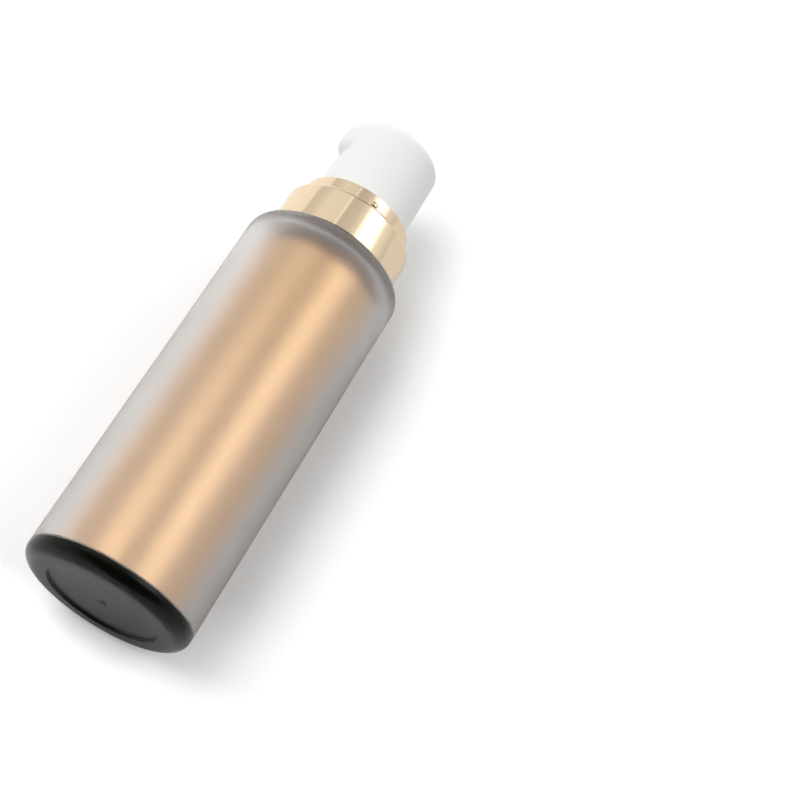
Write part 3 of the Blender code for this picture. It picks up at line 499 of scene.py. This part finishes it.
def goldCollar(c):
    ledge = c["lowerTop"] - c["wall"]
    lipBottom = c["top"] - c["lipHeight"]
    clipRadius = c["innerRadius"] - c["clipDepth"]
    clipTop = c["clipBottom"] + c["clipHeight"]
    bend = c["rim"]
    corners = [(c["lowerRadius"], c["bottom"], c["footEdge"])]
    corners += arc((c["lowerRadius"] - bend, c["lowerTop"] - bend), (bend, bend), 0, 90, c["rimSteps"])
    corners += [
        (c["upperRadius"], c["lowerTop"], c["ledgeFillet"]),
        (c["upperRadius"], c["top"], c["edge"]),
        (c["bore"], c["top"], c["footEdge"]),
        (c["bore"], lipBottom, c["hiddenEdge"]),
        (c["well"], lipBottom - c["lipLead"], c["hiddenEdge"]),
        (c["well"], ledge, c["hiddenEdge"]),
        (c["innerRadius"], ledge, 0),
        (c["innerRadius"], clipTop + c["clipDepth"], 0),
        (clipRadius, clipTop, c["hiddenEdge"]),
        (clipRadius, c["clipBottom"], c["hiddenEdge"]),
        (c["innerRadius"], c["clipBottom"] - c["clipDepth"], 0),
        (c["innerRadius"], c["bottom"], c["footEdge"]),
    ]
    piece = turned("goldCollar", rounded(corners), c["steps"], polishedGoldFinish(c))
    bm = bmesh.new()
    around, rings = c["bumpSteps"]
    radius = c["bumpRadius"] * mm
    out = (c["upperRadius"] + c["bumpRise"] - c["bumpRadius"]) * mm
    for index in range(c["bumpCount"]):
        angle = math.radians(c["bumpFirstDeg"] + 360 * index / c["bumpCount"])
        middle = (out * math.cos(angle), out * math.sin(angle), (c["top"] - c["bumpDrop"]) * mm)
        spot = Matrix.Translation(middle)
        bmesh.ops.create_uvsphere(bm, u_segments=around, v_segments=rings, radius=radius, matrix=spot)
    carve(piece, addPiece("bumpShapes", bm, None), "UNION")
    take(piece, "container", "collar")


goldCollar(collar)
print("collar done")


# White pump head: a round crown that runs out into the beak, over a hollowed throat

head = {
    "radius": 11.5, "draft": 0.1, "bottom": 106.0, "top": 131.3, "steps": 160,
    # crown, and its rise towards the beak
    "topStart": 126.8, "topDrop": 4.5, "topInset": 7.0, "topRise": 0.9, "topRings": 22, "lean": 0.19,
    # beak
    "tipReach": 12.9, "tipRadius": 5.0, "tipDrop": 5.8, "tipInset": 4.4, "nozzle": 125.2, "faceStart": 124.1,
    "faceRings": 18, "faceSpacing": 1.6, "sideRings": 5,
    # throat
    "throat": 120.2, "throatStart": 113.0, "throatReach": 9.2, "blend": 0.5, "curveShare": 0.7,
    "lowRings": 26, "lowSpacing": 0.8,
    # hollow, stem socket, riser and channel
    "skirtWall": 1.3, "skirtDeep": 6.6, "taper": 2.4, "upperCavity": 8.0, "ceiling": 128.0, "chamfer": 1.2,
    "boss": 5.2, "socketBottom": 113.5, "socketDepth": 6.0, "socketRadius": 3.2, "riser": 1.2, "channel": 1.0,
    "tube": 3.1, "ribs": 4, "ribThickness": 1.0, "ribClearance": 3.0, "past": 2.0, "hollowSteps": 96,
    "tubeSteps": 48, "channelSteps": 40,
    # nozzle insert
    "insertRadius": 1.2, "insertBore": 0.7, "insertLength": 4.8, "insertInset": 0.25, "gap": 0.12,
    "boreSteps": 64, "white": (0.90, 0.90, 0.90), "rough": 0.42,
    "insertWhite": (0.84, 0.84, 0.84), "insertRough": 0.3,
}


def smoothLeast(first, second, blend):
    near = max(blend - abs(first - second), 0) / blend
    return min(first, second) - near * near * blend / 4


def roundedInset(height, start, drop, inset):
    rise = min(max(height - start, 0) / drop, 1)
    return inset * (1 - math.sqrt(1 - rise * rise))


def circleReach(angle, centre, radius):
    return centre * math.cos(angle) + math.sqrt(radius**2 - (centre * math.sin(angle)) ** 2)


def hullReach(angle, back, front):  # outline round two circles, as a belt lies round two wheels
    if front[0] + front[1] <= back[0] + back[1]:
        return circleReach(angle, *back)
    touch = math.acos((back[1] - front[1]) / (front[0] - back[0]))
    leave = math.atan2(back[1] * math.sin(touch), back[0] + back[1] * math.cos(touch))
    join = math.atan2(front[1] * math.sin(touch), front[0] + front[1] * math.cos(touch))
    if abs(angle) >= leave:
        return circleReach(angle, *back)
    if abs(angle) >= join:
        return (back[1] + back[0] * math.cos(touch)) / math.cos(touch - abs(angle))
    return circleReach(angle, *front)


def frontReach(height):
    start = head["radius"] + head["blend"]
    along = min(max(height - head["throatStart"], 0) / (head["throat"] - head["throatStart"]), 1)
    curve = head["curveShare"] * along**4 + (1 - head["curveShare"]) * along
    return start - (start - head["throatReach"]) * curve


def headReach(angle, height):
    draft = head["draft"] * min((height - head["bottom"]) / (head["topStart"] - head["bottom"]), 1)
    drawn = roundedInset(height, head["topStart"], head["topDrop"], head["topInset"])
    body = (head["lean"] * drawn, head["radius"] - draft - drawn)
    reach = circleReach(angle, *body)
    if math.cos(angle) > 0:
        reach = smoothLeast(reach, frontReach(height) / math.cos(angle), head["blend"])
    if height <= head["throat"]:
        return reach
    tipDrawn = roundedInset(height, head["top"] - head["tipDrop"], head["tipDrop"], head["tipInset"])
    tip = (head["tipReach"] - head["tipRadius"], head["tipRadius"] - tipDrawn)
    along = min((height - head["throat"]) / (head["faceStart"] - head["throat"]), 1)
    return reach + (hullReach(angle, body, tip) - reach) * math.sin(math.pi / 2 * along)


def headHeights():
    found = [head["bottom"]]
    low, high, rings = head["throatStart"], head["throat"], head["lowRings"]
    found += [low + (high - low) * (step / rings) ** head["lowSpacing"] for step in range(rings + 1)]
    low, high, rings = head["throat"], head["faceStart"], head["faceRings"]
    found += [low + (high - low) * (step / rings) ** head["faceSpacing"] for step in range(1, rings + 1)]
    low, high, rings = head["faceStart"], head["topStart"], head["sideRings"]
    found += [low + (high - low) * step / rings for step in range(1, rings)]
    for step in range(head["topRings"] + 1):
        found.append(head["topStart"] + head["topDrop"] * math.sin(math.pi / 2 * step / head["topRings"]))
    return found


def headForm(material):
    bm = bmesh.new()
    rings = []
    for height in headHeights():
        ring = []
        for step in range(head["steps"]):
            angle = math.tau * step / head["steps"]
            radius = headReach(math.remainder(angle, math.tau), height)
            ahead = radius * math.cos(angle)
            share = max(height - head["topStart"], 0) / head["topDrop"]
            climb = head["topRise"] * share * ahead / head["radius"]
            ring.append(bm.verts.new((radius * math.sin(angle) * mm, -ahead * mm, (height + climb) * mm)))
        rings.append(ring)
    for low, high in zip(rings, rings[1:]):
        for step in range(head["steps"]):
            after = (step + 1) % head["steps"]
            bm.faces.new((low[step], low[after], high[after], high[step]))
    bm.faces.new(rings[0])
    bm.faces.new(rings[-1])
    return addPiece("pumpHead", bm, material)


def headHollow(h):
    skirt = h["radius"] - h["skirtWall"]
    mouth = h["bottom"] - h["past"]
    deep = h["bottom"] + h["skirtDeep"]
    corners = [
        (0, mouth, 0),
        (skirt, mouth, 0),
        (skirt, deep, 0),
        (h["upperCavity"], deep + h["taper"], 0),
        (h["upperCavity"], h["ceiling"], h["chamfer"]),
        (h["boss"], h["ceiling"], 0),
        (h["boss"], h["socketBottom"], 0),
        (0, h["socketBottom"], 0),
    ]
    hollow = turned("headHollow", rounded(corners), h["hollowSteps"], None)
    start, end = (0, 0, h["nozzle"]), (0, -h["tipReach"], h["nozzle"])
    carve(hollow, bar("channelTube", start, end, h["tube"], h["tubeSteps"]))
    bm = bmesh.new()
    low, high = h["socketBottom"] + h["ribClearance"], h["ceiling"] + h["past"]
    start, end = h["socketRadius"], h["upperCavity"] + h["past"]
    for index in range(h["ribs"]):
        turn = Matrix.Rotation(math.tau * (index + 0.5) / h["ribs"], 4, "Z")
        size = Matrix.Diagonal(((end - start) * mm, h["ribThickness"] * mm, (high - low) * mm, 1))
        spot = Matrix.Translation(((start + end) / 2 * mm, 0, (low + high) / 2 * mm))
        bmesh.ops.create_cube(bm, size=1, matrix=turn @ spot @ size)
    carve(hollow, addPiece("ribShapes", bm, None))
    return hollow


satin = {  # white moulded plastic
    "cloud": 7, "cloudTint": 0.3, "cloudShade": 0.975, "cloudRough": 0.06, "grain": 0.14, "grainRough": 0.04,
    "grainDepth": 0.006, "smoother": 0.04,
    "shader": {"Subsurface_Weight": 0.04, "Subsurface_Scale": 0.0012, "IOR": 1.5, "Specular_IOR_Level": 0.2},
}


def whiteFinish(name, color, roughness):
    white = Finish(name, color, roughness, **satin["shader"])
    cloud = white.noise(satin["cloud"], 3)
    grain = white.noise(satin["grain"], 2)
    white.tint(cloud * satin["cloudTint"], [value * satin["cloudShade"] for value in color])
    start = roughness - satin["smoother"]
    white.rough(start + satin["cloudRough"] * cloud + satin["grainRough"] * grain)
    white.relief(grain, satin["grainDepth"])
    return white


def pumpHead(h):
    piece = headForm(whiteFinish("satin_white_head", h["white"], h["rough"]).material)
    carve(piece, headHollow(h))
    mouth = h["socketBottom"] - h["past"]
    seat = h["socketBottom"] + h["socketDepth"]
    corners = [
        (0, mouth, 0),
        (h["socketRadius"], mouth, 0),
        (h["socketRadius"], seat, 0),
        (h["riser"], seat, 0),
        (h["riser"], h["nozzle"], 0),
        (0, h["nozzle"], 0),
    ]
    carve(piece, turned("stemSocket", rounded(corners), h["boreSteps"], None))
    out = (0, -h["tipReach"] - h["past"], h["nozzle"])
    carve(piece, bar("channelBore", (0, 0, h["nozzle"]), out, h["channel"], h["channelSteps"]))
    inner = (0, -(h["tipReach"] - h["insertInset"] - h["insertLength"] - h["gap"]), h["nozzle"])
    carve(piece, bar("insertSeat", inner, out, h["insertRadius"] + h["gap"], h["boreSteps"]))
    take(piece, "head", "pump_head")


def nozzleInsert(h):
    corners = [
        (h["insertBore"], 0, 0),
        (h["insertRadius"], 0, 0.1),
        (h["insertRadius"], h["insertLength"], 0.2),
        (h["insertBore"], h["insertLength"], 0.15),
    ]
    white = whiteFinish("smooth_white_insert", h["insertWhite"], h["insertRough"])
    piece = turned("nozzleInsert", rounded(corners), h["boreSteps"], white.material)
    inner = h["insertLength"] + h["insertInset"] - h["tipReach"]
    lay = Matrix.Translation((0, inner * mm, h["nozzle"] * mm))
    piece.data.transform(lay @ Matrix.Rotation(math.pi / 2, 4, "X"))
    take(piece, "head", "nozzle_insert")


pumpHead(head)
nozzleInsert(head)
print("pump head done")


# Pieces inside the pump keep their solids and get their own finishes

hidden = {  # colour and roughness
    "snap_closure": ((0.80, 0.80, 0.79), 0.42), "pump_housing": ((0.78, 0.79, 0.80), 0.36),
    "ball_cage": ((0.80, 0.80, 0.80), 0.42), "stem_guide": ((0.82, 0.82, 0.81), 0.38),
    "piston_rod": ((0.80, 0.81, 0.82), 0.36), "pump_piston": ((0.84, 0.84, 0.82), 0.5),
    "stem": ((0.82, 0.83, 0.84), 0.34), "follower_piston": ((0.82, 0.82, 0.80), 0.46),
}


metal = {
    "drawn": 0.4, "drawnTint": 0.4, "drawnShade": 0.86, "drawnRough": 0.12, "drawnDepth": 0.004,
    "smoother": 0.05,
}
gasket = {
    "color": (0.55, 0.56, 0.58), "dark": (0.46, 0.47, 0.49), "rough": 0.55,
    "cells": 0.35, "cellTint": 0.5, "cellRough": 0.15, "cellDepth": 0.03,
}


def metalFinish(name, color, roughness, stretch):
    steel = Finish(name, color, roughness, Metallic=1.0)
    drawn = steel.noise(metal["drawn"], 3, stretch)
    steel.tint(drawn * metal["drawnTint"], [value * metal["drawnShade"] for value in color])
    steel.rough(roughness - metal["smoother"] + metal["drawnRough"] * drawn)
    steel.relief(drawn, metal["drawnDepth"])
    return steel


def softFinish(g):
    soft = Finish("foamed_gasket", g["color"], g["rough"])
    cells = soft.noise(g["cells"], 3)
    soft.tint(cells * g["cellTint"], g["dark"])
    soft.rough(g["rough"] + g["cellRough"] * cells)
    soft.relief(cells, g["cellDepth"])
    return soft


for node, (color, roughness) in hidden.items():
    repaint(node, whiteFinish(node + "_white", color, roughness))
repaint("neck_gasket", softFinish(gasket))
repaint("inlet_ball", metalFinish("polished_ball", (0.62, 0.62, 0.64), 0.14, (1, 1, 1)))
print("inner pieces painted")


# Return spring, built at the length of its solid; the real spring shortens as the head goes down

spring = {
    "wire": 0.7, "turns": 7, "endTurns": 0.75, "endGap": 0.6, "stroke": 6.0, "stepsPerTurn": 36, "sides": 12,
}


# centre line with close-wound ends and an even pitch between them
def springLine(s, radius, bottom, length):
    turns = s["turns"] + 2 * s["endTurns"]
    steps = round(turns * s["stepsPerTurn"])
    endRise = (s["wire"] + s["endGap"]) * s["endTurns"]
    points = []
    for step in range(steps + 1):
        turn = turns * step / steps
        first = min(turn, s["endTurns"]) / s["endTurns"]
        middle = min(max(turn - s["endTurns"], 0), s["turns"]) / s["turns"]
        last = max(turn - s["endTurns"] - s["turns"], 0) / s["endTurns"]
        rise = endRise * (first + last) + (length - s["wire"] - 2 * endRise) * middle
        angle = math.tau * turn
        height = bottom + s["wire"] / 2 + rise
        points.append(Vector((radius * math.cos(angle), radius * math.sin(angle), height)))
    return points


def returnSpring(s):
    low, high = [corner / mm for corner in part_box("return_spring")]
    length = high.z - low.z
    points = springLine(s, high.x - s["wire"] / 2, low.z, length)
    bm = bmesh.new()
    rings = []
    for index, point in enumerate(points):
        along = points[min(index + 1, len(points) - 1)] - points[max(index - 1, 0)]
        outward = Vector((point.x, point.y, 0)).normalized()
        upward = along.cross(outward).normalized() * -1
        ring = []
        for side in range(s["sides"]):
            angle = math.tau * side / s["sides"]
            way = outward * math.cos(angle) + upward * math.sin(angle)
            ring.append(bm.verts.new((point + way * s["wire"] / 2) * mm))
        rings.append(ring)
    for near, far in zip(rings, rings[1:]):
        for side in range(s["sides"]):
            after = (side + 1) % s["sides"]
            bm.faces.new((near[side], near[after], far[after], far[side]))
    bm.faces.new(rings[0])
    bm.faces.new(rings[-1])
    wire = metalFinish("drawn_spring_wire", (0.60, 0.60, 0.61), 0.28, (1, 1, 0.2))
    piece = addPiece("returnSpring", bm, wire.material)
    take(piece, "container", "return_spring")
    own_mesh(piece)


returnSpring(spring)
print("return spring done")


# Stage: the bottle is seen as it lies, so the pale table stands upright behind it

stage = {
    "viewRight": (0.24267629, 0.85745702, 0.45373525),
    "viewUp": (0.38803172, -0.51446773, 0.76469232),
    "viewBack": (0.88912294, -0.00950902, -0.45756964),
    "eye": (308.31880789, 26.97440044, -84.77334289), "lens": 70.70,
    "tableTurn": -6.0, "tableGap": 19.05, "tableSize": 3000.0, "floorDrop": 0.05,
    # how white the paper is, and the paper right of the bottle made darker as painted shade
    "paper": 0.96, "paperShadedRight": 0.76, "paperRough": 0.9, "fibre": 1.5, "fibreDepth": 0.01,
    # light added to the paper: left, beside the bottle, right, below the base
    "lift": (0.18, 0.12, 0.385, 0.55), "liftMirrored": 0.05, "liftThrough": 0.42,
    # where those parts meet, in mm across and along the bottle
    "paperEdge": (-5, 25), "liftEdge": (14, 38), "belowEdge": (-7, 6),
    "lowTaper": (22, 0.5), "highTaper": (104, 0.2),
    # brightness of the room by turn from the camera's side, towards its right, in degrees
    "room": (
        (-180, 0.95), (-110, 1.0), (-80, 0.92), (-77, 0.66), (-64, 0.68), (-48, 0.84), (-30, 0.81),
        (-19, 0.80), (-18, 1.05), (-16, 1.05), (-15, 0.58), (-8, 0.59), (5, 0.63), (17, 0.85),
        (27, 2.35), (45, 2.35), (58, 0.92), (76, 0.68), (84, 0.64), (87, 0.74), (110, 0.72), (180, 0.7),
    ),
    # the same below the level
    "roomBelow": (
        (-180, 0.7), (-100, 0.7), (-80, 0.75), (-62, 0.5), (-45, 0.06), (60, 0.06), (78, 0.5),
        (100, 0.7), (180, 0.6),
    ),
    "roomRise": (-0.12, 0.2), "roomZenith": ((0, 1), (0.62, 1), (0.86, 0.55), (0.95, 0.3), (1, 0.1)),
    "brightest": 2.35,
}
lamps = {  # turn from the camera's side towards its right, rise towards the head, in degrees
    "key": {"turn": -32, "rise": 6, "power": 0.85, "spread": 34, "through": False},
    "keyThrough": {"turn": -28, "rise": 6, "power": 0.65, "spread": 44, "through": True},
}


def facingTurn():
    facing = Vector(stage["viewBack"])
    return math.atan2(facing.y, facing.x)


def paperFinish(name):
    paper = Finish(name, [stage["paper"]] * 3, stage["paperRough"])
    paper.relief(paper.noise(stage["fibre"], 2), stage["fibreDepth"])
    seen = paper.node("LightPath", {}, {}, "Is Camera Ray")
    outputs = seen.socket.node.outputs
    mirrored = Wire(paper, outputs["Is Glossy Ray"]) * stage["liftMirrored"]
    through = Wire(paper, outputs["Is Transmission Ray"]) * stage["liftThrough"]
    behind = paper.node("NewGeometry", {}, {}, "Backfacing")
    return paper, seen, mirrored, through, behind


def showFront(paper, clear):  # clear where the paper isn't there
    nothing = paper.node("BsdfTransparent", {}, {})
    mix = paper.node("MixShader", {}, {0: clear, 1: Wire(paper, paper.shader.outputs[0]), 2: nothing})
    paper.feed(paper.tree.nodes["Material Output"].inputs["Surface"], mix)
    return paper.material


def glow(paper, amount):
    paper.feed(paper.shader.inputs["Emission Color"], paper.blend(amount, (0, 0, 0), (1, 1, 1)))
    paper.feed(paper.shader.inputs["Emission Strength"], 1.0)


def floorPaper(s):  # only the camera sees it, and only from above
    paper, seen, _, _, behind = paperFinish("floor_paper")
    glow(paper, seen * s["lift"][0])
    return showFront(paper, 1 - seen * (1 - behind))


def tablePaper(s):
    paper, seen, mirrored, through, behind = paperFinish("table_paper")
    turn = facingTurn() + math.radians(s["tableTurn"])
    x, y, z = paper.split(paper.node("NewGeometry", {}, {}, "Position"))
    across = (y * math.cos(turn) - x * math.sin(turn)) * perMetre
    height = z * perMetre

    def part(value, edge):
        return value.above(sum(edge) / 2, edge[1] - edge[0])

    # painted shade: the table is darker right of the bottle
    shadedSide = part(across, s["paperEdge"])
    paper.tint(shadedSide, [s["paperShadedRight"]] * 3)
    left, beside, away, below = s["lift"]
    low, lowSlope = s["lowTaper"]
    high, highSlope = s["highTaper"]
    taper = paper.calc("MAXIMUM", low - height, 0) * lowSlope
    taper += paper.calc("MAXIMUM", height - high, 0) * highSlope
    side = left + (beside - left) * shadedSide + (away - beside) * part(across + taper, s["liftEdge"])
    above = part(height, s["belowEdge"])
    glow(paper, seen * (below + (side - below) * above) + (through + mirrored) * (1 - shadedSide))
    return showFront(paper, behind)


def sheetAt(name, centre, normal, size, material):
    turn = Vector(normal).to_track_quat("Z", "Y").to_matrix().to_4x4()
    bm = bmesh.new()
    bmesh.ops.create_grid(bm, x_segments=4, y_segments=4, size=size / 2)
    bm.transform(Matrix.Translation(centre) @ turn)
    mesh = lib.meshes.new(name)
    bm.to_mesh(mesh)
    bm.free()
    mesh.materials.append(material)
    sheet = lib.objects.new(name, mesh)
    bpy.context.scene.collection.objects.link(sheet)


def buildStage(s):
    turn = facingTurn() + math.radians(s["tableTurn"])
    normal = Vector((math.cos(turn), math.sin(turn), 0))
    sheetAt("table", -normal * s["tableGap"] * mm, normal, s["tableSize"] * mm, tablePaper(s))
    sheetAt("floor", (0, 0, -s["floorDrop"] * mm), (0, 0, 1), s["tableSize"] * mm, floorPaper(s))


def buildRoom(s):  # the room's brightness round the bottle, white where the camera sees it directly
    world = lib.worlds.new("studio")
    bpy.context.scene.world = world
    room = Nodes(world)
    x, y, z = room.split(room.node("TexCoord", {}, {}, "Generated"))
    turn = room.calc("ARCTAN2", y, x) - facingTurn()
    share = room.calc("WRAP", turn, (-math.pi, math.pi)) / math.tau + 0.5

    def band(values):
        stops = [((degrees + 180) / 360, value / s["brightest"]) for degrees, value in values]
        return room.node("ValToRGB", {"stops": stops}, {"Fac": share}) * s["brightest"]

    below = band(s["roomBelow"])
    bottom, top = s["roomRise"]
    upright = z.above((bottom + top) / 2, top - bottom)
    zenith = room.node("ValToRGB", {"stops": s["roomZenith"]}, {"Fac": z})
    around = below + (band(s["room"]) - below) * upright * zenith
    seen = room.node("LightPath", {}, {}, "Is Camera Ray")
    strength = seen + (1 - seen) * around
    background = room.tree.nodes["Background"]
    room.feed(background.inputs["Strength"], strength)
    room.feed(background.inputs["Color"], (1, 1, 1))


def buildLamps(middle):
    for name, lamp in lamps.items():
        light = lib.lights.new(name, "SUN")
        light.energy = lamp["power"]
        light.angle = math.radians(lamp["spread"])
        turn = facingTurn() + math.radians(lamp["turn"])
        rise = math.radians(lamp["rise"])
        towards = Vector((math.cos(turn) * math.cos(rise), math.sin(turn) * math.cos(rise), math.sin(rise)))
        holder = lib.objects.new(name, light)
        bpy.context.scene.collection.objects.link(holder)
        holder.location = middle + towards
        holder.rotation_euler = towards.to_track_quat("Z", "Y").to_euler()
        holder.visible_glossy = False
        holder.visible_transmission = lamp["through"]


def buildCamera(s):
    lens = lib.cameras.new("photoView")
    lens.lens = s["lens"]
    lens.sensor_width = 36
    lens.clip_start = 0.01
    camera = lib.objects.new("photoView", lens)
    camera.matrix_world = Matrix.Translation(Vector(s["eye"]) * mm) @ Matrix(
        (s["viewRight"], s["viewUp"], s["viewBack"])
    ).transposed().to_4x4()
    bpy.context.scene.collection.objects.link(camera)
    bpy.context.scene.camera = camera


buildStage(stage)
buildRoom(stage)
buildLamps(Vector((0, 0, 66 * mm)))  # the bottle's middle
buildCamera(stage)
bpy.context.scene.view_settings.view_transform = "Standard"
print("stage, lamps and camera done")
